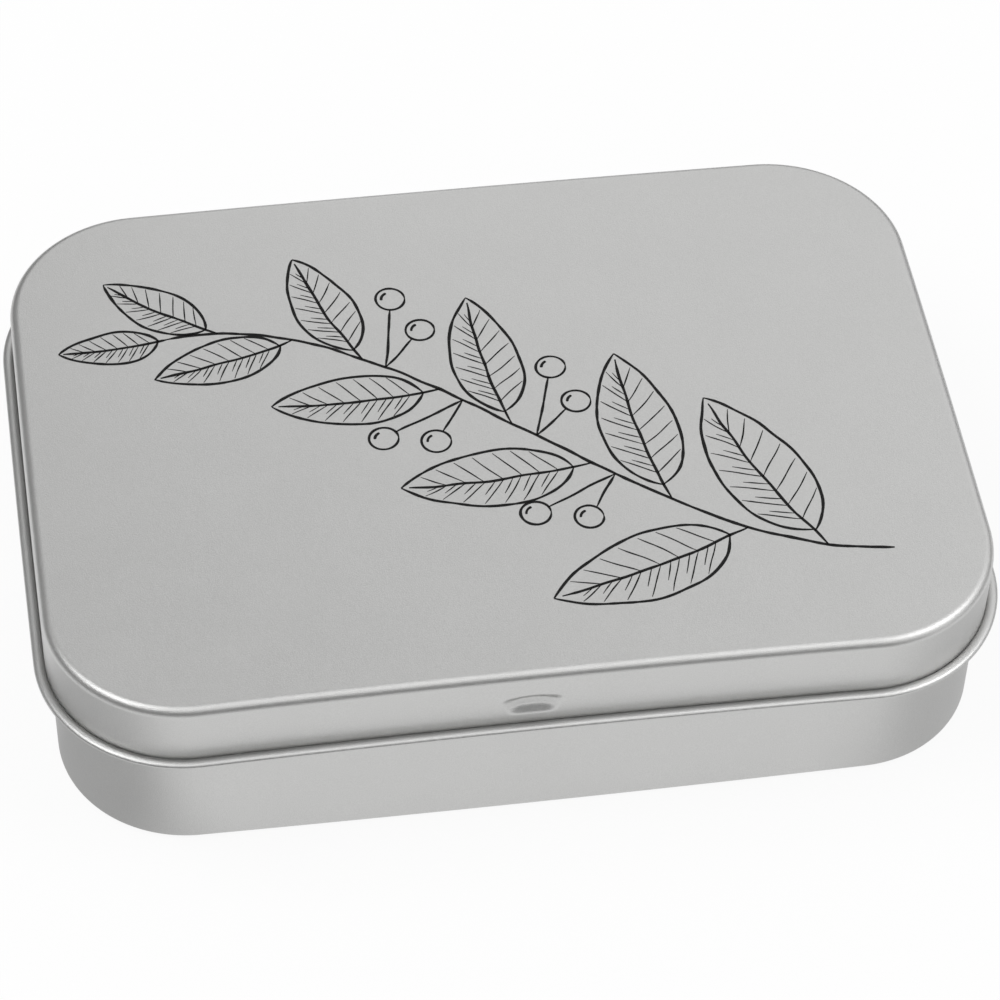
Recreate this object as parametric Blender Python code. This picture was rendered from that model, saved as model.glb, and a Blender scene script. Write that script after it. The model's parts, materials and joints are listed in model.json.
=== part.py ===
"""Hinged tinplate tin, closed: a drawn base, a lid with a rolled outward bead, and two hinge wires.

Metres, +Z up. The origin is under the middle of the tin, on the surface that it stands on.
+X runs along the long side, which is also the hinge's direction. -Y is the front and +Y the hinge side.
Every offset below is measured outwards from the outer face of the lid's skirt.
"""

import math

import bmesh
import bpy
from mathutils import Matrix, Vector

# Outline of the lid's skirt, in plan
SKIRT_LENGTH = 0.1072
SKIRT_WIDTH = 0.07719
CORNER_RADIUS = 0.0157
REAR_BOW = 0.00025
FRONT_BOW = -0.0004
END_BOW = 0.00009

# Sheet metal and fits
SHEET = 0.00023
SEAT_GAP = 0.0003
SIDE_GAP = 0.0003

# Lid
LID_TOP = 0.0235
SHOULDER_RADIUS = 0.0011
BEAD_WIDTH = 0.00127
BEAD_TALL = 0.00084
BEAD_HEIGHT = 0.01536
BEAD_START = 172

# Base
BASE_INSET = 0.0008
FOOT_BOW = 0.0003
NECK_HEIGHT = 0.014
BASE_EDGE_RADIUS = 0.001
RIM_RADIUS = 0.0004

# Snap dimple, pressed inwards at the front of both walls
DIMPLE_X = -0.0012
DIMPLE_Z = 0.0186
DIMPLE_WIDTH = 0.007
DIMPLE_TALL = 0.0036
DIMPLE_DEPTH = 0.00028

# Hinges: a loop of the base's wall between two knuckles of the lid, on a short wire
HINGE_X = 0.022
LOOP_WIDTH = 0.005
KNUCKLE_WIDTH = 0.0045
WIRE_RADIUS = 0.000425
WIRE_CLEARANCE = 0.00015
HINGE_AXIS_OUT = 0.00066
WIRE_END_CHAMFER = 0.0001

# How far a cutter runs past what it cuts
OVERRUN = 0.0006

# How finely round shapes are stepped
CORNER_STEPS = 10
LONG_SIDE_STEPS = 8
END_SIDE_STEPS = 4
SHOULDER_STEPS = 4
BEAD_STEPS = 12
EDGE_STEPS = 4
RIM_STEPS = 10
ROUND_STEPS = 20
LOOP_STEPS = 10
DIMPLE_SEGMENTS = 20
DIMPLE_RINGS = 10

# Worked out from the sizes above
LONG_RUN = SKIRT_LENGTH / 2 - CORNER_RADIUS
END_RUN = SKIRT_WIDTH / 2 - CORNER_RADIUS
CENTRE_Y = (max(FRONT_BOW, 0) - max(REAR_BOW, 0)) / 2
RIM_TOP = LID_TOP - SHEET - SEAT_GAP
RIM_HEIGHT = RIM_TOP - RIM_RADIUS
BORE_RADIUS = WIRE_RADIUS + WIRE_CLEARANCE
KNUCKLE_RADIUS = BORE_RADIUS + SHEET
BARREL_LENGTH = LOOP_WIDTH + 2 * SIDE_GAP + 2 * KNUCKLE_WIDTH
BORE_LENGTH = BARREL_LENGTH - 2 * SHEET
WIRE_LENGTH = BORE_LENGTH - 2 * SIDE_GAP
NOTCH_TOP = BEAD_HEIGHT + KNUCKLE_RADIUS + SIDE_GAP


def clear_scene():
    """Remove every object that the file was opened with."""
    for item in list(bpy.data.objects):
        bpy.data.objects.remove(item, do_unlink=True)


def metal(name, colour, roughness):
    """Make a bare metal material."""
    material = bpy.data.materials.new(name)
    material.use_nodes = True
    shader = material.node_tree.nodes["Principled BSDF"]
    shader.inputs["Base Color"].default_value = (*colour, 1.0)
    shader.inputs["Metallic"].default_value = 1.0
    shader.inputs["Roughness"].default_value = roughness
    return material


def bow_share(along):
    """Give the part of a long side's bow that is reached at a distance along it."""
    return 1 - (along / LONG_RUN) ** 2


def rear_face(along):
    """Give the Y of the skirt's outer face at the rear."""
    return CENTRE_Y + SKIRT_WIDTH / 2 + REAR_BOW * bow_share(along)


def front_face(along):
    """Give the Y of the skirt's outer face at the front."""
    return CENTRE_Y - SKIRT_WIDTH / 2 - FRONT_BOW * bow_share(along)


def base_front_bow(height):
    """Give the bow of the base's front wall, which bulges at the foot and follows the lid from the neck up."""
    return FRONT_BOW + (FOOT_BOW - FRONT_BOW) * max(0, 1 - height / NECK_HEIGHT)


def outline(offset, height, front_bow):
    """Give one closed turn of points round the tin, anticlockwise from above."""
    sides = (
        (Vector((0, -1)), LONG_RUN, END_RUN, front_bow, LONG_SIDE_STEPS),
        (Vector((1, 0)), END_RUN, LONG_RUN, END_BOW, END_SIDE_STEPS),
        (Vector((0, 1)), LONG_RUN, END_RUN, REAR_BOW, LONG_SIDE_STEPS),
        (Vector((-1, 0)), END_RUN, LONG_RUN, END_BOW, END_SIDE_STEPS),
    )
    points = []
    for normal, half_run, reach, bow, steps in sides:
        along = Vector((-normal.y, normal.x))
        for step in range(steps + 1):
            share = 2 * step / steps - 1
            out = reach + CORNER_RADIUS + offset + bow * (1 - share ** 2)
            points.append(normal * out + along * half_run * share)
        corner = normal * reach + along * half_run
        for step in range(1, CORNER_STEPS):
            angle = math.radians(90 * step / CORNER_STEPS)
            arm = normal * math.cos(angle) + along * math.sin(angle)
            points.append(corner + arm * (CORNER_RADIUS + offset))
    return [Vector((point.x, point.y + CENTRE_Y, height)) for point in points]


def oval(offset, height, wide, tall, start, end, steps):
    """Give the stations of part of an oval in a wall's section, as pairs of offset and height."""
    angles = [math.radians(start + (end - start) * step / steps) for step in range(steps + 1)]
    return [(offset + wide * math.cos(angle), height + tall * math.sin(angle)) for angle in angles]


def arc(offset, height, radius, start, end, steps):
    """Give the stations of a round arc."""
    return oval(offset, height, radius, radius, start, end, steps)


def keep_mesh(name, build, material, origin=Vector()):
    """Turn a bmesh into an object, with its origin at a point."""
    bmesh.ops.recalc_face_normals(build, faces=build.faces)
    mesh = bpy.data.meshes.new(name)
    build.to_mesh(mesh)
    build.free()
    mesh.transform(Matrix.Translation(-origin))
    mesh.shade_smooth()
    mesh.set_sharp_from_angle(angle=math.radians(40))
    if material:
        mesh.materials.append(material)
    item = bpy.data.objects.new(name, mesh)
    item.location = origin
    bpy.context.scene.collection.objects.link(item)
    return item


def loft(sections, front_bow):
    """Skin rings of the outline into a closed shell, with a flat panel at each end."""
    build = bmesh.new()
    rings = [[build.verts.new(point) for point in outline(offset, height, front_bow(height))]
             for offset, height in sections]
    for ring, following in zip(rings, rings[1:]):
        for index, corner in enumerate(ring):
            after = (index + 1) % len(ring)
            build.faces.new((corner, ring[after], following[after], following[index]))
    build.faces.new(rings[0])
    build.faces.new(rings[-1])
    return build


def add_bar(build, centre, radius, length, steps, chamfer=0):
    """Add a round bar along X."""
    turn = Matrix.Translation(centre) @ Matrix.Rotation(math.radians(90), 4, "Y")
    made = bmesh.ops.create_cone(build, cap_ends=True, segments=steps, radius1=radius, radius2=radius,
                                 depth=length, matrix=turn)
    if chamfer:
        rims = [edge for edge in build.edges if len([vert for vert in edge.verts if vert in made["verts"]]) == 2
                and abs(edge.verts[0].co.x - edge.verts[1].co.x) < chamfer]
        bmesh.ops.bevel(build, geom=rims, offset=chamfer, segments=1, affect="EDGES", profile=0.5, material=-1)


def add_block(build, low, high):
    """Add a box between two corners."""
    size = high - low
    place = Matrix.Translation((low + high) / 2) @ Matrix.Diagonal((*size, 1))
    bmesh.ops.create_cube(build, size=1, matrix=place)


def add_loop_form(build, centre, radius, reach, width):
    """Add a bar along X that is round on its outer side and flat-sided back to the wall."""
    steps = [math.radians(90 - 180 * step / LOOP_STEPS) for step in range(LOOP_STEPS + 1)]
    section = [(radius * math.cos(angle), radius * math.sin(angle)) for angle in steps]
    section += [(-reach, -radius), (-reach, radius)]
    verts = [build.verts.new(centre + Vector((-width / 2, y, z))) for y, z in section]
    face = build.faces.new(verts)
    grown = bmesh.ops.extrude_face_region(build, geom=[face])
    moved = [item for item in grown["geom"] if isinstance(item, bmesh.types.BMVert)]
    bmesh.ops.translate(build, verts=moved, vec=Vector((width, 0, 0)))


def add_dish(build, face_y, growth, backing):
    """Add a flattened ball at the dimple, cut off at a plane where it only backs the sheet."""
    centre = Vector((DIMPLE_X, face_y, DIMPLE_Z))
    radii = Vector((DIMPLE_WIDTH / 2 + growth, DIMPLE_DEPTH + growth, DIMPLE_TALL / 2 + growth))
    place = Matrix.Translation(centre) @ Matrix.Diagonal((*radii, 1))
    bmesh.ops.create_uvsphere(build, u_segments=DIMPLE_SEGMENTS, v_segments=DIMPLE_RINGS, radius=1, matrix=place)
    if backing:
        everything = [*build.verts, *build.edges, *build.faces]
        cut = bmesh.ops.bisect_plane(build, geom=everything, plane_co=centre + Vector((0, backing, 0)),
                                     plane_no=Vector((0, -1, 0)), clear_outer=True)
        rim = [item for item in cut["geom_cut"] if isinstance(item, bmesh.types.BMEdge)]
        bmesh.ops.edgeloop_fill(build, edges=rim)


def shape_with(target, name, build, operation):
    """Join a form to a piece, or cut the piece by it."""
    tool = keep_mesh(name, build, None)
    tool.hide_render = True
    tool.display_type = "WIRE"
    step = target.modifiers.new(name, "BOOLEAN")
    step.operation = operation
    step.solver = "EXACT"
    step.object = tool


def hinge_axes():
    """Give the middle of each hinge's wire, left then right."""
    axis_y = rear_face(HINGE_X) + HINGE_AXIS_OUT
    return [Vector((side * HINGE_X, axis_y, BEAD_HEIGHT)) for side in (-1, 1)]


def press_dimple(target, name, face_y):
    """Press the snap dimple into a front wall, with the sheet dished behind it."""
    back = bmesh.new()
    add_dish(back, face_y, SHEET, SHEET / 2)
    shape_with(target, name + "_back", back, "UNION")
    hollow = bmesh.new()
    add_dish(hollow, face_y, 0, 0)
    shape_with(target, name + "_hollow", hollow, "DIFFERENCE")


def make_base(material):
    """Make the drawn base: floor, wall, rim curled inwards, two hinge loops and the dimple."""
    inner_edge = BASE_EDGE_RADIUS - SHEET
    rim_offset = -BASE_INSET - RIM_RADIUS
    rim_end = 360 - math.degrees(math.acos((RIM_RADIUS - SHEET) / RIM_RADIUS))
    floor_offset = -BASE_INSET - BASE_EDGE_RADIUS
    sections = arc(floor_offset, BASE_EDGE_RADIUS, BASE_EDGE_RADIUS, -90, 0, EDGE_STEPS)
    sections += [(-BASE_INSET, NECK_HEIGHT)]
    sections += arc(rim_offset, RIM_HEIGHT, RIM_RADIUS, 0, rim_end, RIM_STEPS)
    sections += [(-BASE_INSET - SHEET, NECK_HEIGHT)]
    sections += arc(floor_offset, BASE_EDGE_RADIUS, inner_edge, 0, -90, EDGE_STEPS)
    base = keep_mesh("base_shell", loft(sections, base_front_bow), material)

    loops = bmesh.new()
    slots = bmesh.new()
    for axis in hinge_axes():
        wall_y = rear_face(HINGE_X) - BASE_INSET
        to_wall = axis.y - wall_y
        add_loop_form(loops, axis, KNUCKLE_RADIUS, to_wall + SHEET / 2, LOOP_WIDTH)
        add_loop_form(slots, axis, BORE_RADIUS, to_wall + SHEET + OVERRUN, LOOP_WIDTH + OVERRUN)
    shape_with(base, "base_loops", loops, "UNION")
    shape_with(base, "base_slots", slots, "DIFFERENCE")
    press_dimple(base, "base_dimple", front_face(DIMPLE_X) + BASE_INSET)
    return base


def make_lid(material):
    """Make the lid: flat panel, shoulder, skirt, outward bead, hinge knuckles and the dimple."""
    shoulder = (-SHOULDER_RADIUS, LID_TOP - SHOULDER_RADIUS)
    bead = (BEAD_WIDTH / 2, BEAD_HEIGHT)
    sections = arc(*shoulder, SHOULDER_RADIUS, 90, 0, SHOULDER_STEPS)
    bead_top = oval(*bead, BEAD_WIDTH / 2, BEAD_TALL / 2, BEAD_START, -90, BEAD_STEPS)
    sections += [(0, bead_top[0][1]), *bead_top]
    sections += oval(*bead, BEAD_WIDTH / 2 + SHEET, BEAD_TALL / 2, -90, -180, BEAD_STEPS // 2)[1:]
    sections += arc(*shoulder, SHOULDER_RADIUS - SHEET, 0, 90, SHOULDER_STEPS)
    shell = loft(sections, lambda height: FRONT_BOW)
    lid = keep_mesh("lid_shell", shell, material, origin=sum(hinge_axes(), Vector()) / 2)

    barrels = bmesh.new()
    bores = bmesh.new()
    notches = bmesh.new()
    for axis in hinge_axes():
        notch_half = LOOP_WIDTH / 2 + SIDE_GAP
        skirt_y = rear_face(HINGE_X)
        outside = axis.y + KNUCKLE_RADIUS + OVERRUN
        below = BEAD_HEIGHT - KNUCKLE_RADIUS - OVERRUN
        add_bar(barrels, axis, KNUCKLE_RADIUS, BARREL_LENGTH, ROUND_STEPS)
        add_bar(bores, axis, BORE_RADIUS, BORE_LENGTH, ROUND_STEPS)
        add_block(notches, Vector((axis.x - notch_half, skirt_y - SHEET - OVERRUN, below)),
                  Vector((axis.x + notch_half, outside, NOTCH_TOP)))
    shape_with(lid, "lid_barrels", barrels, "UNION")
    shape_with(lid, "lid_bores", bores, "DIFFERENCE")
    shape_with(lid, "lid_notches", notches, "DIFFERENCE")
    press_dimple(lid, "lid_dimple", front_face(DIMPLE_X))
    return lid


def make_wires(material):
    """Make the two straight hinge wires."""
    wires = []
    for side, axis in zip(("left", "right"), hinge_axes()):
        build = bmesh.new()
        add_bar(build, axis, WIRE_RADIUS, WIRE_LENGTH, ROUND_STEPS, WIRE_END_CHAMFER)
        wires.append(keep_mesh("hinge_wire_" + side, build, material, origin=axis))
    return wires


def main():
    """Build the tin."""
    clear_scene()
    base = make_base(metal("base_tinplate", (0.50, 0.50, 0.50), 0.42))
    lid = make_lid(metal("lid_tinplate", (0.48, 0.48, 0.48), 0.45))
    for piece in (lid, *make_wires(metal("steel_wire", (0.40, 0.40, 0.41), 0.30))):
        piece.parent = base


main()
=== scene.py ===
"""Looks of a hinged tinplate tin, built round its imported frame.

Metres, +Z up. The origin is under the middle of the tin, -Y is the front and +Y the hinge side.
Offsets are measured outwards from the outer face of the lid's skirt.
"""

import json
import logging
import math
from dataclasses import dataclass, field, replace
from enum import Enum

import bmesh
import bpy
from mathutils import Matrix, Vector, noise
from mathutils.geometry import interpolate_bezier

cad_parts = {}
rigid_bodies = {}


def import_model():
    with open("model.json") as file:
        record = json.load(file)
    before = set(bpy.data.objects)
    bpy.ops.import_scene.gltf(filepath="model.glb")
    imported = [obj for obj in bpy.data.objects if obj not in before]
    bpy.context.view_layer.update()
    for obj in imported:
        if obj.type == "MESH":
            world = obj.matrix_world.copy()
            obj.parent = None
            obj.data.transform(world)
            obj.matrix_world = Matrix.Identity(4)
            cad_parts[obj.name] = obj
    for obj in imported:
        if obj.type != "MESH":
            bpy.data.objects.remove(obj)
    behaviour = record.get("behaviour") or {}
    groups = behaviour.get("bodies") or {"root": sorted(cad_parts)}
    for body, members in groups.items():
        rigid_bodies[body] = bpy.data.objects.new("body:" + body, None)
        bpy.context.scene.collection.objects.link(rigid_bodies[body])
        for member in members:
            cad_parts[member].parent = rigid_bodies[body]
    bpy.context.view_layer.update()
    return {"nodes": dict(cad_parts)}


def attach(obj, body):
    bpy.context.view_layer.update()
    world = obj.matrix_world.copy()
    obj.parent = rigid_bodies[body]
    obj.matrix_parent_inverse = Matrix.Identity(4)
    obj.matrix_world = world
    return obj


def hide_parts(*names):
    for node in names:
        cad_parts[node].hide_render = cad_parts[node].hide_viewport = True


LOG = logging.getLogger("tin")
MM = 0.001
OVERRUN = 0.6 * MM
WELD = 1e-7
WHITE = (1.0, 1.0, 1.0, 1.0)


class Body(Enum):
    """The bodies that pieces ride on."""

    BASE = "base"
    LID = "lid"


class Merge(Enum):
    """How a tool shape changes a piece."""

    JOIN = "UNION"
    CUT = "DIFFERENCE"


def linear(hex_colour: str) -> tuple[float, float, float, float]:
    """Turn an sRGB hex colour into the linear values that a shader takes.

    Args:
        hex_colour: Six hex digits, without a sign in front.

    Returns:
        Red, green, blue and an alpha of 1.
    """
    values = []
    for start in (0, 2, 4):
        share = int(hex_colour[start:start + 2], 16) / 255
        values.append(share / 12.92 if share <= 0.04045 else ((share + 0.055) / 1.055) ** 2.4)
    return (*values, 1.0)


def add_node(tree: bpy.types.NodeTree, kind: str, settings: dict | None = None,
             links: dict | None = None) -> bpy.types.Node:
    """Add a node with its settings and its inputs.

    Args:
        tree: The node tree that gets it.
        kind: The node's type name.
        settings: Attributes of the node.
        links: Input name or number to a value, or to the socket that feeds it.

    Returns:
        The new node.
    """
    node = tree.nodes.new(kind)
    for name, value in (settings or {}).items():
        setattr(node, name, value)
    for name, value in (links or {}).items():
        if isinstance(value, bpy.types.NodeSocket):
            tree.links.new(value, node.inputs[name])
        else:
            node.inputs[name].default_value = value
    return node


def new_tree(name: str) -> tuple[bpy.types.Material, bpy.types.NodeTree, bpy.types.Node]:
    """Start a material with nothing but its output.

    Args:
        name: The material's name.

    Returns:
        The material, its node tree and the output node.
    """
    material = bpy.data.materials.new(name)
    material.use_nodes = True
    tree = material.node_tree
    tree.nodes.clear()
    return material, tree, add_node(tree, "ShaderNodeOutputMaterial")


@dataclass(frozen=True)
class StoneTinplate:
    """Electrolytic tinplate, rolled with a fine stone finish, so it mirrors only in a soft blur.

    The grain breaks every highlight into a fine sparkle, and broad faint clouds come from the coating.
    The real grain is too fine to show in a render, so it is drawn coarser than it is.
    """

    name: str
    dark: str = "C5C5C4"
    light: str = "CECECD"
    roughness: float = 0.34
    roughness_swing: float = 0.03
    grain_size: float = 0.15 * MM
    grain_depth: float = 0.03 * MM
    cloud_size: float = 7.0 * MM
    cloud_share: float = 0.12
    darkest: float = 0.35
    lightest: float = 0.65

    def build(self) -> bpy.types.Material:
        """Make the material.

        Returns:
            The material, ready for a slot.
        """
        material, tree, output = new_tree(self.name)
        place = add_node(tree, "ShaderNodeTexCoord").outputs["Object"]
        grain = add_node(tree, "ShaderNodeTexNoise", {}, {
            "Vector": place, "Scale": 1 / self.grain_size, "Detail": 3.0, "Roughness": 0.6})
        cloud = add_node(tree, "ShaderNodeTexNoise", {}, {
            "Vector": place, "Scale": 1 / self.cloud_size, "Detail": 2.0, "Roughness": 0.5})
        blend = add_node(tree, "ShaderNodeMath", {"operation": "MULTIPLY"}, {
            0: cloud.outputs["Fac"], 1: self.cloud_share})
        total = add_node(tree, "ShaderNodeMath", {"operation": "MULTIPLY_ADD"}, {
            0: grain.outputs["Fac"], 1: 1 - self.cloud_share, 2: blend.outputs[0]})
        spread = add_node(tree, "ShaderNodeMapRange", {}, {
            "Value": total.outputs[0], "From Min": self.darkest, "From Max": self.lightest})
        colour = add_node(tree, "ShaderNodeMix", {"data_type": "RGBA"}, {
            0: spread.outputs[0], 6: linear(self.dark), 7: linear(self.light)})
        rough = add_node(tree, "ShaderNodeMapRange", {}, {
            "Value": total.outputs[0], "From Min": self.darkest, "From Max": self.lightest,
            "To Min": self.roughness - self.roughness_swing,
            "To Max": self.roughness + self.roughness_swing})
        bump = add_node(tree, "ShaderNodeBump", {}, {
            "Height": grain.outputs["Fac"], "Distance": self.grain_depth, "Strength": 1.0})
        shader = add_node(tree, "ShaderNodeBsdfPrincipled", {}, {
            "Base Color": colour.outputs[2], "Metallic": 1.0, "Roughness": rough.outputs[0],
            "Normal": bump.outputs[0]})
        tree.links.new(shader.outputs[0], output.inputs[0])
        return material


@dataclass(frozen=True)
class DrawnWire:
    """Bright drawn steel wire, with fine lines along it from the die."""

    name: str = "drawn_steel_wire"
    colour: str = "A9AAAB"
    roughness: float = 0.28
    roughness_swing: float = 0.08
    line_size: float = 0.05 * MM
    line_stretch: float = 0.02

    def build(self) -> bpy.types.Material:
        """Make the material.

        Returns:
            The material, ready for a slot.
        """
        material, tree, output = new_tree(self.name)
        place = add_node(tree, "ShaderNodeTexCoord").outputs["Object"]
        along = add_node(tree, "ShaderNodeMapping", {}, {"Vector": place, "Scale": (self.line_stretch, 1.0, 1.0)})
        lines = add_node(tree, "ShaderNodeTexNoise", {}, {
            "Vector": along.outputs[0], "Scale": 1 / self.line_size, "Detail": 2.0})
        rough = add_node(tree, "ShaderNodeMapRange", {}, {
            "Value": lines.outputs["Fac"],
            "To Min": self.roughness - self.roughness_swing,
            "To Max": self.roughness + self.roughness_swing})
        shader = add_node(tree, "ShaderNodeBsdfPrincipled", {}, {
            "Base Color": linear(self.colour), "Metallic": 1.0, "Roughness": rough.outputs[0]})
        tree.links.new(shader.outputs[0], output.inputs[0])
        return material


@dataclass(frozen=True)
class PrintInk:
    """Black offset ink on tinplate, dried to a soft sheen, a little uneven where the plate pressed less."""

    name: str = "black_print_ink"
    dark: str = "0B0B0B"
    light: str = "1B1B1B"
    roughness: float = 0.6
    shine: float = 0.15
    patch_size: float = 0.8 * MM

    def build(self) -> bpy.types.Material:
        """Make the material.

        Returns:
            The material, ready for a slot.
        """
        material, tree, output = new_tree(self.name)
        place = add_node(tree, "ShaderNodeTexCoord").outputs["Object"]
        patch = add_node(tree, "ShaderNodeTexNoise", {}, {
            "Vector": place, "Scale": 1 / self.patch_size, "Detail": 3.0})
        colour = add_node(tree, "ShaderNodeMix", {"data_type": "RGBA"}, {
            0: patch.outputs["Fac"], 6: linear(self.dark), 7: linear(self.light)})
        shader = add_node(tree, "ShaderNodeBsdfPrincipled", {}, {
            "Base Color": colour.outputs[2], "Roughness": self.roughness, "Specular IOR Level": self.shine})
        tree.links.new(shader.outputs[0], output.inputs[0])
        return material


@dataclass(frozen=True)
class Plan:
    """The tin's outline in plan, taken at the outer face of the lid's skirt."""

    length: float = 107.2 * MM
    width: float = 77.19 * MM
    corner: float = 15.7 * MM
    rear_bow: float = 0.25 * MM
    front_bow: float = -0.4 * MM
    foot_bow: float = -0.4 * MM
    neck_height: float = 14.0 * MM
    end_bow: float = 0.09 * MM
    corner_steps: int = 32
    side_step: float = 2.0 * MM

    @property
    def centre_y(self) -> float:
        """Give the Y that the outline is built round, which centres the whole box."""
        return (max(self.front_bow, 0) - max(self.rear_bow, 0)) / 2

    @property
    def reach(self) -> Vector:
        """Give the half sizes of the rectangle through the corners' centres."""
        return Vector((self.length / 2 - self.corner, self.width / 2 - self.corner))

    def bow(self, x: float, y: float, normal: Vector, height: float) -> float:
        """Give how far a side bows out at a point of the corner rectangle.

        Args:
            x: The point's X.
            y: The point's Y.
            normal: The outward direction there.
            height: The point's height, which counts at the front, where the foot has its own bow.

        Returns:
            The outward shift in metres, or 0 round a corner.
        """
        if abs(x) < self.reach.x and abs(normal.y) > abs(normal.x):
            foot_share = max(0.0, 1 - height / self.neck_height)
            front = self.front_bow + (self.foot_bow - self.front_bow) * foot_share
            return (front if normal.y < 0 else self.rear_bow) * (1 - (x / self.reach.x) ** 2)
        if abs(y) < self.reach.y and abs(normal.x) > abs(normal.y):
            return self.end_bow * (1 - (y / self.reach.y) ** 2)
        return 0.0

    def seat(self, point: Vector, offset: float, height: float) -> Vector:
        """Place a point of the outline at an offset and a height.

        Args:
            point: The point, at any offset outside the corner rectangle.
            offset: Distance outwards from the skirt.
            height: The new Z.

        Returns:
            The place.
        """
        flat = Vector((point.x, point.y - self.centre_y))
        core = Vector((max(-self.reach.x, min(self.reach.x, flat.x)),
                       max(-self.reach.y, min(self.reach.y, flat.y))))
        normal = (flat - core).normalized()
        out = core + normal * (self.corner + offset + self.bow(core.x, core.y, normal, height))
        return Vector((out.x, out.y + self.centre_y, height))

    def face_y(self, x: float, side: int) -> float:
        """Give the Y of the skirt's outer face at the front (-1) or the rear (1)."""
        normal = Vector((0, side))
        return self.centre_y + side * (self.width / 2 + self.bow(x, side, normal, self.neck_height))

    def first_ring(self, build: bmesh.types.BMesh, offset: float, height: float) -> list[bmesh.types.BMEdge]:
        """Start a shell: a square with bevelled corners, left as one ring of edges.

        Args:
            build: The mesh that gets the ring.
            offset: The ring's offset.
            height: The ring's height.

        Returns:
            The ring's edges.
        """
        bmesh.ops.create_grid(build, x_segments=1, y_segments=1, size=0.5,
                              matrix=Matrix.Diagonal((self.length, self.width, 1, 1)))
        bmesh.ops.bevel(build, geom=build.verts[:], offset=self.corner, segments=self.corner_steps,
                        affect="VERTICES", profile=0.5, material=-1)
        bmesh.ops.delete(build, geom=build.faces[:], context="FACES_ONLY")
        sides = [edge for edge in build.edges if edge.calc_length() > self.side_step]
        for axis, run in enumerate(self.reach):
            along = [edge for edge in sides
                     if abs(edge.verts[0].co[axis] - edge.verts[1].co[axis]) > self.side_step]
            bmesh.ops.subdivide_edges(build, edges=along, cuts=round(2 * run / self.side_step))
        bmesh.ops.translate(build, verts=build.verts[:], vec=Vector((0, self.centre_y, 0)))
        for vert in build.verts:
            vert.co = self.seat(vert.co, offset, height)
        return build.edges[:]


Section = list[tuple[float, float]]


def oval(offset: float, height: float, wide: float, tall: float, start: float, end: float, steps: int) -> Section:
    """Give the stations of part of an oval in a wall's section.

    Args:
        offset: The centre's offset.
        height: The centre's height.
        wide: Half its width.
        tall: Half its height.
        start: The first angle in degrees, from straight outwards.
        end: The last angle in degrees.
        steps: How many steps it takes.

    Returns:
        Pairs of offset and height.
    """
    angles = [math.radians(start + (end - start) * step / steps) for step in range(steps + 1)]
    return [(offset + wide * math.cos(angle), height + tall * math.sin(angle)) for angle in angles]


def arc(offset: float, height: float, radius: float, start: float, end: float, steps: int) -> Section:
    """Give the stations of a round arc, as oval does."""
    return oval(offset, height, radius, radius, start, end, steps)


def smooth(share: float) -> float:
    """Ease a share between 0 and 1 at both ends."""
    return share * share * (3 - 2 * share)


def shaded(item: bpy.types.Object, angle: float = 40) -> bpy.types.Object:
    """Shade a piece smooth, with its edges past an angle kept sharp.

    Args:
        item: The piece.
        angle: The angle in degrees.

    Returns:
        The same piece.
    """
    item.data.shade_smooth()
    item.data.set_sharp_from_angle(angle=math.radians(angle))
    return item


def as_object(name: str, build: bmesh.types.BMesh) -> bpy.types.Object:
    """Turn a bmesh into a linked object at the origin, with its faces pointing out.

    Args:
        name: The object's name.
        build: The mesh, which is freed.

    Returns:
        The object.
    """
    bmesh.ops.recalc_face_normals(build, faces=build.faces[:])
    mesh = bpy.data.meshes.new(name)
    build.to_mesh(mesh)
    build.free()
    item = bpy.data.objects.new(name, mesh)
    bpy.context.scene.collection.objects.link(item)
    return item


def work(item: bpy.types.Object, build: bmesh.types.BMesh, how: Merge) -> None:
    """Join a tool shape to a piece, or cut the piece by it, for good.

    Args:
        item: The piece.
        build: The tool's mesh, which is freed.
        how: Join or cut.
    """
    tool = as_object("tool", build)
    step = item.modifiers.new("tool", "BOOLEAN")
    step.operation = how.value
    step.solver = "EXACT"
    step.object = tool
    bpy.context.view_layer.update()
    done = bpy.data.meshes.new_from_object(item.evaluated_get(bpy.context.evaluated_depsgraph_get()))
    item.modifiers.clear()
    old = item.data
    item.data = done
    bpy.data.meshes.remove(old)
    bpy.data.objects.remove(tool, do_unlink=True)


def add_bar(build: bmesh.types.BMesh, centre: Vector, radius: float, length: float, steps: int) -> None:
    """Add a round bar along X.

    Args:
        build: The mesh that gets it.
        centre: Its middle.
        radius: Its radius.
        length: Its length.
        steps: How many sides it has.
    """
    place = Matrix.Translation(centre) @ Matrix.Rotation(math.radians(90), 4, "Y")
    bmesh.ops.create_cone(build, cap_ends=True, segments=steps, radius1=radius, radius2=radius,
                          depth=length, matrix=place)


def add_block(build: bmesh.types.BMesh, low: Vector, high: Vector) -> None:
    """Add a box between two corners."""
    place = Matrix.Translation((low + high) / 2) @ Matrix.Diagonal((*(high - low), 1))
    bmesh.ops.create_cube(build, size=1, matrix=place)


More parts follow.
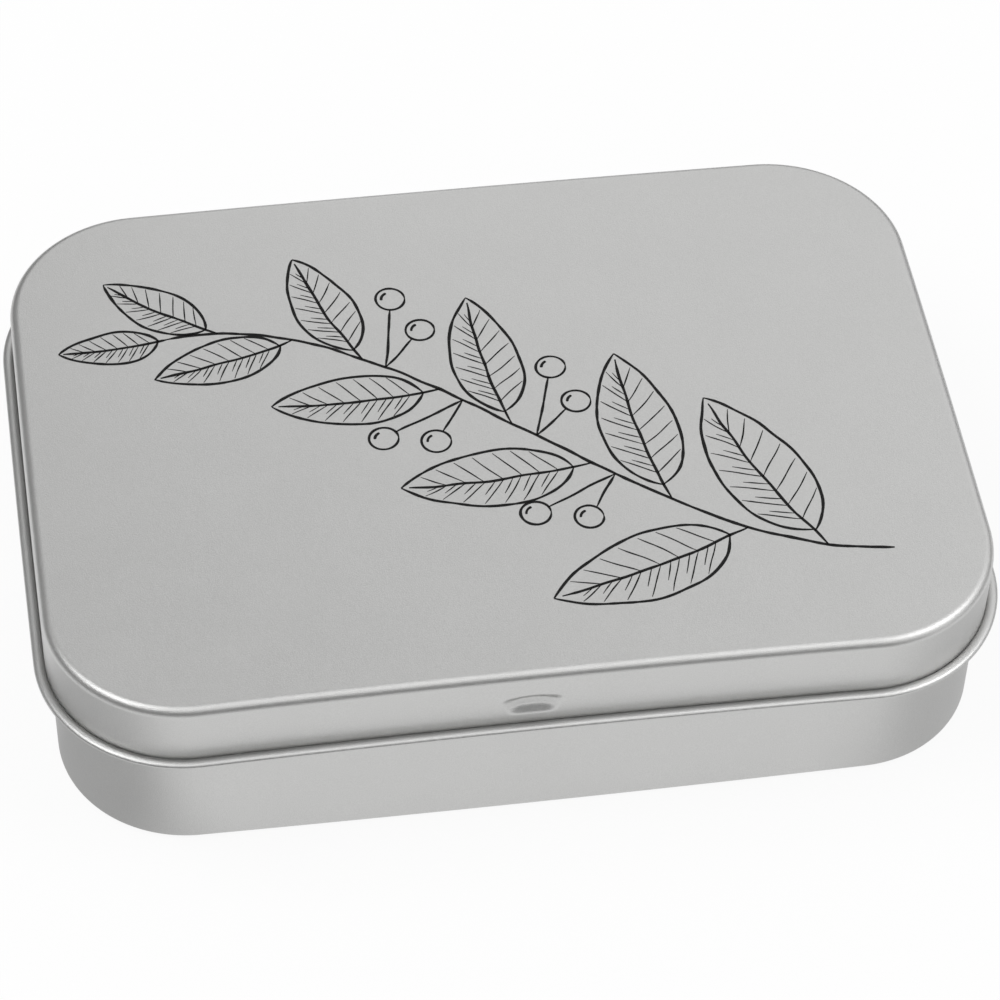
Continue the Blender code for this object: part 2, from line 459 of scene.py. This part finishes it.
@dataclass(frozen=True)
class Fits:
    """Sizes that more than one piece of the tin follows."""

    plan: Plan = field(default_factory=Plan)
    sheet: float = 0.23 * MM
    seat_gap: float = 0.3 * MM
    side_gap: float = 0.3 * MM
    lid_top: float = 23.5 * MM
    bead_height: float = 15.36 * MM
    hinge_x: float = 22.0 * MM
    loop_width: float = 5.0 * MM
    knuckle_width: float = 4.5 * MM
    wire_radius: float = 0.425 * MM
    wire_clearance: float = 0.15 * MM
    hinge_axis_out: float = 0.66 * MM
    round_steps: int = 40

    @property
    def bore_radius(self) -> float:
        """Give the inner radius of the hinge's loops and knuckles."""
        return self.wire_radius + self.wire_clearance

    @property
    def knuckle_radius(self) -> float:
        """Give their outer radius."""
        return self.bore_radius + self.sheet

    @property
    def barrel_length(self) -> float:
        """Give the length of one hinge, over both knuckles."""
        return self.loop_width + 2 * self.side_gap + 2 * self.knuckle_width

    @property
    def bore_length(self) -> float:
        """Give the length of the wire's channel."""
        return self.barrel_length - 2 * self.sheet

    def axes(self) -> list[Vector]:
        """Give the middle of each hinge's wire, left then right."""
        axis_y = self.plan.face_y(self.hinge_x, 1) + self.hinge_axis_out
        return [Vector((side * self.hinge_x, axis_y, self.bead_height)) for side in (-1, 1)]

    def shell(self, name: str, section: Section, plan: Plan) -> bpy.types.Object:
        """Draw a shell from a section: one ring of the outline, extruded from station to station.

        Args:
            name: The piece's name.
            section: Stations from the outer panel round the wall to the inner panel.
            plan: The outline that it follows.

        Returns:
            The piece.
        """
        build = bmesh.new()
        ring = plan.first_ring(build, *section[0])
        bmesh.ops.edgeloop_fill(build, edges=ring)
        for offset, height in section[1:]:
            grown = bmesh.ops.extrude_edge_only(build, edges=ring)["geom"]
            moved = {item for item in grown if isinstance(item, bmesh.types.BMVert)}
            ring = [item for item in grown
                    if isinstance(item, bmesh.types.BMEdge) and moved.issuperset(item.verts)]
            for vert in moved:
                vert.co = plan.seat(vert.co, offset, height)
        bmesh.ops.edgeloop_fill(build, edges=ring)
        return as_object(name, build)


@dataclass(frozen=True)
class Dimple:
    """The snap dimple: pressed in steeply along its top edge, level across its middle, and rising out below."""

    x: float = -1.1 * MM
    low: float = 16.9 * MM
    high: float = 20.25 * MM
    top_half: float = 3.9 * MM
    low_half: float = 2.5 * MM
    depth: float = 0.6 * MM
    rise_share: float = 0.4
    level_share: float = 0.65
    sag_share: float = 0.2
    column: float = 0.2 * MM
    row: float = 0.08 * MM
    margin: float = 0.6 * MM
    side_margins: float = 4
    wall_band: float = 1.0 * MM
    wall_turn: float = 0.9

    def depth_at(self, x: float, z: float) -> float:
        """Give how far the sheet is pressed in at a place on the front wall.

        Args:
            x: The place's X.
            z: The place's height.

        Returns:
            The depth in metres.
        """
        up = (z - self.low) / (self.high - self.low)
        half = self.low_half + (self.top_half - self.low_half) * max(0.0, min(1.0, up))
        across = (x - self.x) / half
        up += self.sag_share * up * across * across
        if not 0 < up < 1 or abs(across) >= 1:
            return 0.0
        rising = smooth(min(1.0, up / self.rise_share))
        falling = smooth(min(1.0, (1 - up) / (1 - self.level_share)))
        return self.depth * min(rising, falling) * (1 - abs(across) ** (4 - 2 * up))

    def press(self, item: bpy.types.Object, face_y: float) -> None:
        """Cut the front wall finer round the dimple and press it in.

        Args:
            item: The shell.
            face_y: The Y of its front face.
        """
        build = bmesh.new()
        build.from_mesh(item.data)
        left = self.x - self.top_half - self.margin
        right = self.x + self.top_half + self.margin
        cuts = [(Vector((left + self.column * step, 0, 0)), Vector((1, 0, 0)))
                for step in range(round((right - left) / self.column) + 1)]
        floor = self.low - self.margin
        cuts += [(Vector((0, 0, floor + self.row * step)), Vector((0, 0, 1)))
                 for step in range(round((self.high + self.margin - floor) / self.row) + 1)]
        beside = self.margin * self.side_margins
        for place, direction in cuts:
            near = [face for face in build.faces if abs(face.normal.y) > self.wall_turn
                    and abs(face.calc_center_median().y - face_y) < self.wall_band
                    and left - beside < face.calc_center_median().x < right + beside]
            verts = {vert for face in near for vert in face.verts}
            edges = {edge for face in near for edge in face.edges}
            bmesh.ops.bisect_plane(build, geom=[*verts, *edges, *near], plane_co=place, plane_no=direction,
                                   dist=WELD)
        for vert in build.verts:
            if abs(vert.co.y - face_y) < self.wall_band:
                vert.co.y += self.depth_at(vert.co.x, vert.co.z)
        build.to_mesh(item.data)
        build.free()


@dataclass(frozen=True)
class Base:
    """The drawn base: floor, wall, rim curled inwards, hinge loops and its own dimple."""

    fits: Fits
    inset: float = 0.8 * MM
    foot_bow: float = 0.3 * MM
    edge_radius: float = 1.0 * MM
    rim_radius: float = 0.4 * MM
    flat_margin: float = 0.15 * MM
    edge_steps: int = 12
    inner_steps: int = 10
    rim_steps: int = 28
    leg_share: float = 0.999

    def section(self) -> Section:
        """Give the wall's section.

        Returns:
            Stations from under the floor round the rim to the floor's top.
        """
        sheet = self.fits.sheet
        rim_height = self.fits.lid_top - sheet - self.fits.seat_gap - self.rim_radius
        rim_end = 360 - math.degrees(math.acos((self.rim_radius - sheet) / self.rim_radius))
        floor_at = (-self.inset - self.edge_radius, self.edge_radius)
        low = self.edge_radius + self.flat_margin
        neck = self.fits.plan.neck_height
        high = rim_height - self.flat_margin
        stations = [(floor_at[0] - self.flat_margin, 0.0)]
        stations += arc(*floor_at, self.edge_radius, -90, 0, self.edge_steps)
        stations += [(-self.inset, low), (-self.inset, neck), (-self.inset, high)]
        stations += arc(-self.inset - self.rim_radius, rim_height, self.rim_radius, 0, rim_end, self.rim_steps)
        stations += [(-self.inset - sheet, height) for height in (high - self.rim_radius, neck, low)]
        stations += arc(*floor_at, self.edge_radius - sheet, 0, -90, self.inner_steps)
        stations += [(floor_at[0] - self.flat_margin, sheet)]
        return stations

    def build(self) -> bpy.types.Object:
        """Make the base.

        Returns:
            The finished piece, without its material.
        """
        fits = self.fits
        item = fits.shell("tin_base", self.section(), replace(fits.plan, foot_bow=self.foot_bow))
        Dimple().press(item, fits.plan.face_y(0, -1) + self.inset)
        for grow, how in ((fits.knuckle_radius, Merge.JOIN), (fits.bore_radius, Merge.CUT)):
            for axis in fits.axes():
                wall_y = fits.plan.face_y(axis.x, 1) - self.inset
                reach = axis.y - wall_y + fits.sheet / 2
                width = fits.loop_width
                if how is Merge.CUT:
                    reach += fits.sheet / 2 + OVERRUN
                    width += OVERRUN
                bar = bmesh.new()
                add_bar(bar, axis, grow, width, fits.round_steps)
                work(item, bar, how)
                legs = bmesh.new()
                half = Vector((width / 2, 0, grow * self.leg_share))
                add_block(legs, axis - half - Vector((0, reach, 0)), axis + half)
                work(item, legs, how)
        return shaded(item)


@dataclass(frozen=True)
class Lid:
    """The lid: flat panel, rounded shoulder, skirt, outward bead, hinge knuckles and the snap dimple."""

    fits: Fits
    shoulder: float = 1.1 * MM
    bead_width: float = 1.27 * MM
    bead_tall: float = 0.84 * MM
    bead_start: float = 172
    flat_margin: float = 0.15 * MM
    shoulder_steps: int = 16
    inner_steps: int = 12
    bead_steps: int = 36
    bead_inner_steps: int = 14

    def section(self) -> Section:
        """Give the lid's section.

        Returns:
            Stations from the top panel round the bead to the panel's underside.
        """
        fits = self.fits
        top_at = (-self.shoulder, fits.lid_top - self.shoulder)
        bead_at = (self.bead_width / 2, fits.bead_height)
        bead_half = (self.bead_width / 2, self.bead_tall / 2)
        bead = oval(*bead_at, *bead_half, self.bead_start, -90, self.bead_steps)
        high = top_at[1] - self.flat_margin
        low = bead[0][1]
        stations = [(top_at[0] - self.flat_margin, fits.lid_top)]
        stations += arc(*top_at, self.shoulder, 90, 0, self.shoulder_steps)
        stations += [(0.0, high), (0.0, low + self.flat_margin), (0.0, low)]
        stations += bead
        stations += oval(*bead_at, bead_half[0] + fits.sheet, bead_half[1], -90, -180, self.bead_inner_steps)[1:]
        stations += [(-fits.sheet, low + self.flat_margin), (-fits.sheet, high)]
        stations += arc(*top_at, self.shoulder - fits.sheet, 0, 90, self.inner_steps)
        stations += [(top_at[0] - self.flat_margin, fits.lid_top - fits.sheet)]
        return stations

    def add_hinges(self, item: bpy.types.Object) -> None:
        """Roll the bead round the wire at each hinge, with a notch for the base's loop.

        Args:
            item: The lid.
        """
        fits = self.fits
        for axis in fits.axes():
            skirt_y = fits.plan.face_y(axis.x, 1)
            outside = axis.y + fits.knuckle_radius + OVERRUN
            below = axis.z - fits.knuckle_radius - OVERRUN
            barrel, bore, notch = (bmesh.new() for _ in range(3))
            notch_half = fits.loop_width / 2 + fits.side_gap
            notch_top = axis.z + fits.knuckle_radius + fits.side_gap
            add_bar(barrel, axis, fits.knuckle_radius, fits.barrel_length, fits.round_steps)
            add_bar(bore, axis, fits.bore_radius, fits.bore_length, fits.round_steps)
            add_block(notch, Vector((axis.x - notch_half, skirt_y - fits.sheet - OVERRUN, below)),
                      Vector((axis.x + notch_half, outside, notch_top)))
            work(item, barrel, Merge.JOIN)
            work(item, bore, Merge.CUT)
            work(item, notch, Merge.CUT)

    def build(self) -> bpy.types.Object:
        """Make the lid.

        Returns:
            The finished piece, without its material.
        """
        item = self.fits.shell("tin_lid", self.section(), self.fits.plan)
        Dimple().press(item, self.fits.plan.face_y(0, -1))
        self.add_hinges(item)
        return shaded(item)


Stroke = list[Vector]


def line(start: Vector, end: Vector, step: float = 0.5 * MM) -> Stroke:
    """Give a straight stroke as points a short step apart."""
    steps = max(2, round((end - start).length / step))
    return [start.lerp(end, share / steps) for share in range(steps + 1)]


@dataclass(frozen=True)
class Leaf:
    """One leaf of the printed branch, lying flat on the panel.

    Places along the leaf are shares of its length, and places across it are shares of its half width.
    """

    root: Vector
    angle: float
    length: float
    width: float
    bend: float = 0.12
    stalk_share: float = 0.1
    belly: tuple[float, float] = (0.25, 1.3)
    brow: tuple[float, float] = (0.76, 0.92)
    midrib_share: float = 0.96
    midrib_steps: int = 30
    margin_steps: int = 40
    edge_steps: int = 100
    veins: int = 7
    first_vein: float = 0.18
    vein_span: float = 0.68
    vein_lean: float = 0.12
    vein_reach: float = 0.9
    hatch_shift: float = 0.045
    hatch_lean: float = 0.15
    hatch_reach: float = 0.55

    def at(self, along: float, across: float) -> Vector:
        """Give a place on the leaf.

        Args:
            along: Share of the length, from the root.
            across: Share of the half width, to the left of the midrib.

        Returns:
            The place on the panel.
        """
        run = Vector((math.cos(self.angle), math.sin(self.angle)))
        bend = self.bend * along * (1 - along) * self.length
        return self.root + run * along * self.length + Vector((-run.y, run.x)) * (across * self.width / 2 + bend)

    def margin(self, side: int, points: int) -> Stroke:
        """Give one margin, from the end of the stalk to the tip.

        Args:
            side: 1 for the left margin, -1 for the right one.
            points: How many points it takes.

        Returns:
            The margin.
        """
        ends = [self.at(along, across * side).to_3d() for along, across in (
            (self.stalk_share, 0), self.belly, self.brow, (1, 0))]
        return [point.xy for point in interpolate_bezier(*ends, points)]

    def vein(self, edge: Stroke, start: float, rim: float, reach: float) -> Stroke:
        """Give a vein from the midrib part of the way to a margin.

        Args:
            edge: The margin.
            start: Where it leaves the midrib.
            rim: Where on the margin it points.
            reach: The share of the way that it goes.

        Returns:
            The vein.
        """
        fork = self.at(start, 0)
        return line(fork, fork.lerp(edge[round(self.edge_steps * rim)], reach))

    def strokes(self) -> tuple[list[Stroke], list[Stroke]]:
        """Draw the leaf, with one half hatched as if in shade.

        Returns:
            The main strokes and the fine ones.
        """
        midrib = [self.at(self.midrib_share * step / self.midrib_steps, 0) for step in range(self.midrib_steps + 1)]
        main = [self.margin(1, self.margin_steps), self.margin(-1, self.margin_steps), midrib]
        fine = []
        for side in (1, -1):
            edge = self.margin(side, self.edge_steps + 1)
            for count in range(self.veins):
                share = self.first_vein + self.vein_span * count / self.veins
                fine.append(self.vein(edge, share, share + self.vein_lean, self.vein_reach))
                if side > 0:
                    fine.append(self.vein(edge, share + self.hatch_shift, share + self.hatch_lean, self.hatch_reach))
        return main, fine


@dataclass(frozen=True)
class LidDrawing:
    """A leafy branch with berries in thin black line, printed across the lid's panel."""

    top: float
    pen: float = 0.36 * MM
    fine_pen: float = 0.17 * MM
    stem_pen_share: float = 1.1
    berry_pen_share: float = 0.9
    pen_start: float = 0.45
    pen_lift: float = 0.25
    pen_swing: float = 0.35
    pen_swing_share: float = 0.3
    proud: float = 0.012 * MM
    sunk: float = 0.03 * MM
    wobble: float = 0.22 * MM
    wobble_size: float = 4.0 * MM
    stem_bends_mm: tuple[tuple[float, float], ...] = ((42, -25), (14, -24), (-8, 22), (-36, 17))
    stem_points: int = 160
    leaves: int = 9
    first_leaf: float = 0.09
    leaf_span: float = 0.84
    leaf_tilt: float = 52
    leaf_tilt_loss: float = 20
    leaf_length: float = 27 * MM
    leaf_length_loss: float = 12 * MM
    leaf_length_swing: float = 1.5 * MM
    leaf_width_share: float = 0.46
    tip_turn: float = -0.1
    tip_length: float = 13 * MM
    tip_width: float = 6 * MM
    spray_places: tuple[tuple[float, int], ...] = ((0.375, 1), (0.48, -1), (0.585, 1), (0.69, -1))
    berry_stalks_mm: tuple[tuple[float, float], ...] = ((66, 11), (97, 7.2))
    berry: float = 1.7 * MM
    berry_rings: tuple[tuple[float, float, float], ...] = ((0, 360, 1), (110, 70, 0.6))
    berry_steps: int = 32

    def stem(self) -> Stroke:
        """Give the branch's stem, from its cut end to its tip."""
        ends = [Vector((x * MM, y * MM, 0)) for x, y in self.stem_bends_mm]
        return [point.xy for point in interpolate_bezier(*ends, self.stem_points)]

    def lay(self, build: bmesh.types.BMesh, points: Stroke, pen: float) -> None:
        """Lay one stroke on the panel, with a hand's waver in its path and its width.

        Args:
            build: The mesh that gets it.
            points: The stroke's path.
            pen: The pen's width.
        """
        last = len(points) - 1
        rails = []
        for index, point in enumerate(points):
            ahead = points[min(index + 1, last)] - points[max(index - 1, 0)]
            side = Vector((-ahead.y, ahead.x)).normalized()
            sway = noise.noise((point / self.wobble_size).to_3d())
            swell = noise.noise((point / (self.pen_swing_share * self.wobble_size)).to_3d())
            lift = min(1.0, self.pen_start + self.pen_lift * min(index, last - index))
            half = pen / 2 * lift * (1 + self.pen_swing * swell)
            centre = point + side * sway * self.wobble
            rails.append([build.verts.new((*(centre + side * half * way), self.top + self.proud)) for way in (1, -1)])
        faces = [build.faces.new((*rail, *reversed(after))) for rail, after in zip(rails, rails[1:])]
        grown = bmesh.ops.extrude_face_region(build, geom=faces)["geom"]
        moved = [item for item in grown if isinstance(item, bmesh.types.BMVert)]
        bmesh.ops.translate(build, verts=moved, vec=Vector((0, 0, -self.proud - self.sunk)))

    def place_on(self, share: float) -> tuple[Vector, Vector]:
        """Give a place on the stem.

        Args:
            share: How far along the stem it lies.

        Returns:
            The place, and the stem's direction there.
        """
        stem = self.stem()
        at = round(share * (len(stem) - 2))
        return stem[at], (stem[at + 1] - stem[at]).normalized()

    def leaf_list(self) -> list[Leaf]:
        """Set out the leaves, alternately on either side and smaller towards the tip.

        Returns:
            The leaves, with the one at the tip last.
        """
        leaves = []
        for count in range(self.leaves):
            share = self.first_leaf + self.leaf_span * count / (self.leaves - 1)
            root, run = self.place_on(share)
            tilt = math.radians(self.leaf_tilt - self.leaf_tilt_loss * share) * (1 if count % 2 else -1)
            swing = self.leaf_length_swing * noise.noise(Vector((count, 0, 0)))
            length = self.leaf_length - self.leaf_length_loss * share + swing
            leaves.append(Leaf(root, math.atan2(run.y, run.x) + tilt, length, length * self.leaf_width_share))
        root, run = self.place_on(1)
        leaves.append(Leaf(root, math.atan2(run.y, run.x) + self.tip_turn, self.tip_length, self.tip_width))
        return leaves

    def berries(self) -> list[Stroke]:
        """Draw the sprays of berries, each just behind a leaf on its side of the stem.

        Returns:
            For each berry its stalk, its outline and the glint inside it.
        """
        strokes = []
        for share, side in self.spray_places:
            root, run = self.place_on(share)
            for spread, reach in self.berry_stalks_mm:
                aim = Matrix.Rotation(math.radians(spread) * side, 2) @ run
                middle = root + aim * reach * MM
                strokes.append(line(root, middle - aim * self.berry))
                for start, turn, size in self.berry_rings:
                    angles = [math.radians(start + turn * step / self.berry_steps)
                              for step in range(self.berry_steps + 1)]
                    strokes.append([middle + Vector((math.cos(angle), math.sin(angle))) * self.berry * size
                                    for angle in angles])
        return strokes

    def build(self) -> bpy.types.Object:
        """Print the drawing.

        Returns:
            The ink, as one thin piece.
        """
        build = bmesh.new()
        self.lay(build, self.stem(), self.pen * self.stem_pen_share)
        for leaf in self.leaf_list():
            main, fine = leaf.strokes()
            for points in main:
                self.lay(build, points, self.pen)
            for points in fine:
                self.lay(build, points, self.fine_pen)
        for points in self.berries():
            self.lay(build, points, self.pen * self.berry_pen_share)
        return as_object("lid_drawing", build)


def only_mirrored(item: bpy.types.Object, material: bpy.types.Material) -> None:
    """Put a piece on the set that only mirrored rays see.

    Args:
        item: The piece.
        material: Its tone.
    """
    item.data.materials.append(material)
    item.visible_camera = False
    item.visible_shadow = False
    item.visible_diffuse = False


@dataclass(frozen=True)
class SoftBox:
    """A soft box that faces the tin, with its run along the tin's depth."""

    name: str
    place: Vector
    run: float
    width: float
    radiance: float

    def build(self) -> None:
        """Hang it."""
        data = bpy.data.lights.new(self.name, "AREA")
        data.shape = "RECTANGLE"
        data.size = self.run
        data.size_y = self.width
        data.energy = self.radiance * math.pi * self.run * self.width
        item = bpy.data.objects.new(self.name, data)
        bpy.context.scene.collection.objects.link(item)
        item.rotation_mode = "QUATERNION"
        item.rotation_quaternion = (-self.place).to_track_quat("-Z", "Y")
        item.location = self.place


@dataclass(frozen=True)
class Flag:
    """A rise of the dark collar towards one side, in degrees above the floor.

    A wider spread keeps it at its full height further round.
    """

    side: Vector
    spread: float
    rise: float

    def at(self, direction: Vector) -> float:
        """Give its part of the collar's angle in a direction."""
        return self.rise * smooth(min(1.0, max(0.0, self.spread * direction.dot(self.side.normalized()))))


@dataclass(frozen=True)
class CardAndPaintedShade:
    """A level oval grey patch that fades out at its edge, seen only by mirrored rays, which tones the metal that
    mirrors it. Over the back it is a grey card; laid on the sweep it is painted shade by the tin, seen only in the
    metal's reflection.
    """

    name: str
    middle: Vector
    length: float
    depth: float
    level: float
    fade: float = 0.6
    steps: int = 64

    def build(self) -> None:
        """Cut it and shade it."""
        build = bmesh.new()
        place = Matrix.Translation(self.middle) @ Matrix.Diagonal((self.length, self.depth, 1, 1))
        bmesh.ops.create_circle(build, cap_ends=True, segments=self.steps, radius=0.5, matrix=place)
        item = as_object(self.name, build)
        material, tree, output = new_tree(self.name)
        spot = add_node(tree, "ShaderNodeTexCoord").outputs["Object"]
        centred = add_node(tree, "ShaderNodeMapping", {"vector_type": "TEXTURE"}, {
            "Vector": spot, "Location": self.middle, "Scale": (self.length / 2, self.depth / 2, 1)})
        rim = add_node(tree, "ShaderNodeTexGradient", {"gradient_type": "SPHERICAL"}, {"Vector": centred.outputs[0]})
        share = add_node(tree, "ShaderNodeMapRange", {"interpolation_type": "SMOOTHSTEP"}, {
            "Value": rim.outputs["Fac"], "From Max": self.fade})
        clear = add_node(tree, "ShaderNodeBsdfTransparent")
        grey = add_node(tree, "ShaderNodeEmission", {}, {"Color": WHITE, "Strength": self.level})
        face = add_node(tree, "ShaderNodeMixShader", {}, {
            0: share.outputs[0], 1: clear.outputs[0], 2: grey.outputs[0]})
        tree.links.new(face.outputs[0], output.inputs[0])
        only_mirrored(item, material)


@dataclass(frozen=True)
class Studio:
    """A white sweep under soft light, with dark flags round it, which edge the metal with dark lines.

    The sweep lies a hair under the tin, because two faces in one plane would flicker.
    """

    room_light: float = 0.65
    room_white: float = 1.0
    floor_half: float = 1.5
    floor_gap: float = 0.02 * MM
    floor_cloth: str = "FAFAFA"
    floor_white: float = 0.9
    floor_mirrored: float = 0.735
    flag_radius: float = 0.2
    flag_steps: int = 96
    flag_low: float = 2.0 * MM
    flag_low_angle: float = 1
    flag_level: float = 0.29
    # Height above the sweep of the painted shade patches.
    floor_shade_height: float = 0.1 * MM
    camera_distance: float = 480.7 * MM
    camera_azimuth: float = -10.568
    camera_elevation: float = 48.315
    camera_roll: float = 2.51
    camera_focal_px: float = 4109.1
    frame_px: float = 1000.0
    target: tuple[float, float, float] = (1.045 * MM, -1.81 * MM, 11.266 * MM)
    sensor: float = 36.0
    clip_start: float = 10.0 * MM

    def camera(self) -> None:
        """Set the camera at the photograph's viewing angle."""
        turn, lift, roll = (math.radians(angle) for angle in
                            (self.camera_azimuth, self.camera_elevation, self.camera_roll))
        back = Vector((math.sin(turn) * math.cos(lift), -math.cos(turn) * math.cos(lift), math.sin(lift)))
        right = Vector((math.cos(turn), math.sin(turn), 0))
        up = back.cross(right)
        side = right * math.cos(roll) + up * math.sin(roll)
        over = up * math.cos(roll) - right * math.sin(roll)
        data = bpy.data.cameras.new("camera")
        data.sensor_width = self.sensor
        data.lens = self.camera_focal_px / self.frame_px * self.sensor
        data.clip_start = self.clip_start
        item = bpy.data.objects.new("camera", data)
        bpy.context.scene.collection.objects.link(item)
        place = Vector(self.target) + back * self.camera_distance
        item.matrix_world = Matrix.Translation(place) @ Matrix((side, over, back)).transposed().to_4x4()
        bpy.context.scene.camera = item

    def shown_rays(self, tree: bpy.types.NodeTree, seen: float = 1.0, mirrored: float = 1.0) -> bpy.types.NodeSocket:
        """Give a socket for how white the background is shown.

        Args:
            tree: The node tree that gets it.
            seen: The value for camera rays.
            mirrored: The value for glossy and transmission rays.

        Returns:
            The socket, which is 0 for light on the object.
        """
        paths = add_node(tree, "ShaderNodeLightPath")
        bounced = add_node(tree, "ShaderNodeMath", {"operation": "MAXIMUM"}, {
            0: paths.outputs["Is Glossy Ray"], 1: paths.outputs["Is Transmission Ray"]})
        bounced_share = add_node(tree, "ShaderNodeMath", {"operation": "MULTIPLY"}, {
            0: bounced.outputs[0], 1: mirrored})
        return add_node(tree, "ShaderNodeMath", {"operation": "MULTIPLY_ADD"}, {
            0: paths.outputs["Is Camera Ray"], 1: seen, 2: bounced_share.outputs[0]}).outputs[0]

    def world(self) -> None:
        """Light the room evenly, and show it white."""
        world = bpy.data.worlds.new("studio")
        world.use_nodes = True
        tree = world.node_tree
        tree.nodes.clear()
        level = add_node(tree, "ShaderNodeMapRange", {}, {
            "Value": self.shown_rays(tree), "To Min": self.room_light, "To Max": self.room_white})
        glow = add_node(tree, "ShaderNodeBackground", {}, {"Color": WHITE, "Strength": level.outputs[0]})
        output = add_node(tree, "ShaderNodeOutputWorld")
        tree.links.new(glow.outputs[0], output.inputs[0])
        world.cycles.sampling_method = "NONE"
        bpy.context.scene.world = world

    def floor(self) -> None:
        """Lay the sweep: white where it is seen, with most of the shadow washed out."""
        build = bmesh.new()
        bmesh.ops.create_grid(build, x_segments=1, y_segments=1, size=self.floor_half,
                              matrix=Matrix.Translation((0, 0, -self.floor_gap)))
        item = as_object("floor", build)
        material, tree, output = new_tree("white_sweep")
        cloth = add_node(tree, "ShaderNodeBsdfDiffuse", {}, {"Color": linear(self.floor_cloth)})
        glow = add_node(tree, "ShaderNodeEmission", {}, {"Color": WHITE, "Strength": 1.0})
        share = self.shown_rays(tree, self.floor_white, self.floor_mirrored)
        mixed = add_node(tree, "ShaderNodeMixShader", {}, {0: share, 1: cloth.outputs[0], 2: glow.outputs[0]})
        tree.links.new(mixed.outputs[0], output.inputs[0])
        item.data.materials.append(material)

    def flags(self) -> None:
        """Stand a dark collar round the set, highest on the camera's side and at the left."""
        rises = (Flag(side=Vector((-0.5, -0.87)), spread=1.15, rise=39),
                 Flag(side=Vector((-0.95, 0.3)), spread=1.0, rise=44),
                 Flag(side=Vector((0.79, 0.61)), spread=1.0, rise=18))
        build = bmesh.new()
        bmesh.ops.create_circle(build, cap_ends=False, segments=self.flag_steps, radius=self.flag_radius,
                                matrix=Matrix.Translation((0, 0, self.flag_low)))
        grown = bmesh.ops.extrude_edge_only(build, edges=build.edges[:])["geom"]
        for vert in grown:
            if isinstance(vert, bmesh.types.BMVert):
                angle = self.flag_low_angle + max(rise.at(vert.co.xy.normalized()) for rise in rises)
                vert.co.z = self.flag_radius * math.tan(math.radians(angle))
        material, tree, output = new_tree("dark_flag")
        felt = add_node(tree, "ShaderNodeEmission", {}, {"Color": WHITE, "Strength": self.flag_level})
        tree.links.new(felt.outputs[0], output.inputs[0])
        only_mirrored(as_object("flags", build), material)

    def cards_and_painted_shade(self) -> None:
        """Hang a grey card over the back, which grades the lid, and lay a patch of painted shade on the sweep at
        either front corner, which only the metal's reflection shows.
        """
        low = self.floor_shade_height
        for card_and_shade in (CardAndPaintedShade("top_card", Vector((-0.42, 0.26, 0.5)), length=1.64, depth=0.44, level=0.3),
                     # The two patches on the sweep are painted shade by the tin's front corners, which darkens the
                     # base's reflection there.
                     CardAndPaintedShade("left_painted_floor_shade", Vector((-0.06, -0.033, low)), length=0.057, depth=0.053, level=0.55),
                     CardAndPaintedShade("right_painted_floor_shade", Vector((0.056, -0.03, low)), length=0.054, depth=0.056, level=0.66)):
            card_and_shade.build()

    def lamps(self) -> None:
        """Hang a soft box over each side."""
        for box in (SoftBox("left_softbox", Vector((-0.55, 0.04, 0.82)), run=0.74, width=0.5, radiance=2.4),
                    SoftBox("right_softbox", Vector((0.58, -0.18, 0.78)), run=0.46, width=0.46, radiance=2.4)):
            box.build()

    def build(self) -> None:
        """Set up the whole studio."""
        bpy.context.scene.view_settings.view_transform = "Standard"
        self.camera()
        self.world()
        self.floor()
        self.flags()
        self.cards_and_painted_shade()
        self.lamps()


def dress(item: bpy.types.Object, material: bpy.types.Material, body: Body, slot: str, *nodes: str) -> None:
    """Give a piece its material and its body, and hide the nodes that it stands for.

    Args:
        item: The piece.
        material: Its finish.
        body: The body that it rides on.
        slot: The record's material slot. It is not used.
        nodes: The CAD nodes that it replaces.
    """
    item.data.materials.clear()
    item.data.materials.append(material)
    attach(item, body.value)
    if nodes:
        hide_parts(*nodes)
    LOG.info("%s: %d faces on %s", item.name, len(item.data.polygons), body.value)


def main() -> None:
    """Build the looks of the tin, piece by piece."""
    logging.basicConfig(level=logging.INFO, format="%(name)s: %(message)s")
    for item in list(bpy.data.objects):
        bpy.data.objects.remove(item, do_unlink=True)
    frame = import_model()
    Studio().build()
    fits = Fits()
    dress(Base(fits).build(), StoneTinplate("base_tinplate").build(), Body.BASE, "base_tinplate", "base_shell")
    dress(Lid(fits).build(), StoneTinplate("lid_tinplate").build(), Body.LID, "lid_tinplate", "lid_shell")
    dress(LidDrawing(fits.lid_top).build(), PrintInk().build(), Body.LID, "lid_tinplate")
    wire = DrawnWire().build()
    for name in ("hinge_wire_left", "hinge_wire_right"):
        item = frame["nodes"][name]
        item.data.materials.clear()
        item.data.materials.append(wire)
        LOG.info("%s: %d faces on %s", name, len(item.data.polygons), Body.BASE.value)
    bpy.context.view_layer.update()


if __name__ == "__main__":
    main()
